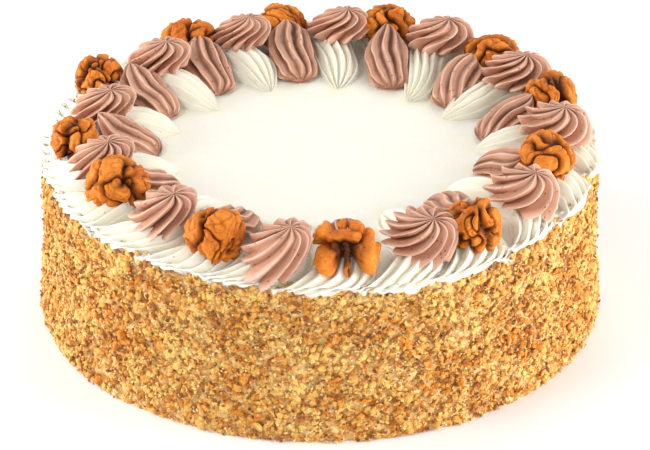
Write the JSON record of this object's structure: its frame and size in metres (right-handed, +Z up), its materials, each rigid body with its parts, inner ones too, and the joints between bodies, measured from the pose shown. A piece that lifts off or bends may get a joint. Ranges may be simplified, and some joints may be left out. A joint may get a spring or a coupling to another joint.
{
  "type": "nut cake",
  "caption": "Whole round cake with a chopped-nut side, a smooth cream top and a ring of piped cream shells, cocoa rosettes and walnut halves.",
  "frame": {"origin": "middle of the flat base, on the surface that the cake stands on", "axes": "+Z up, the front that the picture shows towards -Y, +X to the right seen from the front"},
  "size_m": [0.2641, 0.2651, 0.102],
  "materials": {
    "nut_coat": "rough chopped nuts, matte; the flat top is smooth ivory cream",
    "white_cream": "smooth whipped cream, soft satin",
    "cocoa_cream": "smooth cocoa cream, soft satin",
    "walnut": "dry wrinkled walnut skin, faint sheen"
  },
  "bodies": {
    "root": {"cake_drum": "nut_coat", "white_long_shell_01": "white_cream", "white_short_shell_01": "white_cream", "cocoa_rosette_01": "cocoa_cream", "cocoa_shell_01": "cocoa_cream", "walnut_half_01": "walnut", "white_long_shell_02": "white_cream", "white_short_shell_02": "white_cream", "cocoa_rosette_02": "cocoa_cream", "cocoa_shell_02": "cocoa_cream", "walnut_half_02": "walnut", "white_long_shell_03": "white_cream", "white_short_shell_03": "white_cream", "cocoa_rosette_03": "cocoa_cream", "cocoa_shell_03": "cocoa_cream", "walnut_half_03": "walnut", "white_long_shell_04": "white_cream", "white_short_shell_04": "white_cream", "cocoa_rosette_04": "cocoa_cream", "cocoa_shell_04": "cocoa_cream", "walnut_half_04": "walnut", "white_long_shell_05": "white_cream", "white_short_shell_05": "white_cream", "cocoa_rosette_05": "cocoa_cream", "cocoa_shell_05": "cocoa_cream", "walnut_half_05": "walnut", "white_long_shell_06": "white_cream", "white_short_shell_06": "white_cream", "cocoa_rosette_06": "cocoa_cream", "cocoa_shell_06": "cocoa_cream", "walnut_half_06": "walnut", "white_long_shell_07": "white_cream", "white_short_shell_07": "white_cream", "cocoa_rosette_07": "cocoa_cream", "cocoa_shell_07": "cocoa_cream", "walnut_half_07": "walnut", "white_shell_pair_08": "white_cream", "cocoa_rosette_08": "cocoa_cream", "cocoa_shell_08": "cocoa_cream", "walnut_half_08": "walnut", "white_long_shell_09": "white_cream", "white_short_shell_09": "white_cream", "cocoa_rosette_09": "cocoa_cream", "cocoa_shell_09": "cocoa_cream", "walnut_half_09": "walnut", "white_long_shell_10": "white_cream", "white_short_shell_10": "white_cream", "cocoa_rosette_10": "cocoa_cream", "cocoa_shell_10": "cocoa_cream", "walnut_half_10": "walnut", "white_long_shell_11": "white_cream", "white_short_shell_11": "white_cream", "cocoa_rosette_11": "cocoa_cream", "cocoa_shell_11": "cocoa_cream", "walnut_half_11": "walnut", "white_long_shell_12": "white_cream", "white_short_shell_12": "white_cream", "cocoa_rosette_12": "cocoa_cream", "cocoa_shell_12": "cocoa_cream", "walnut_half_12": "walnut"}
  },
  "joints": []
}
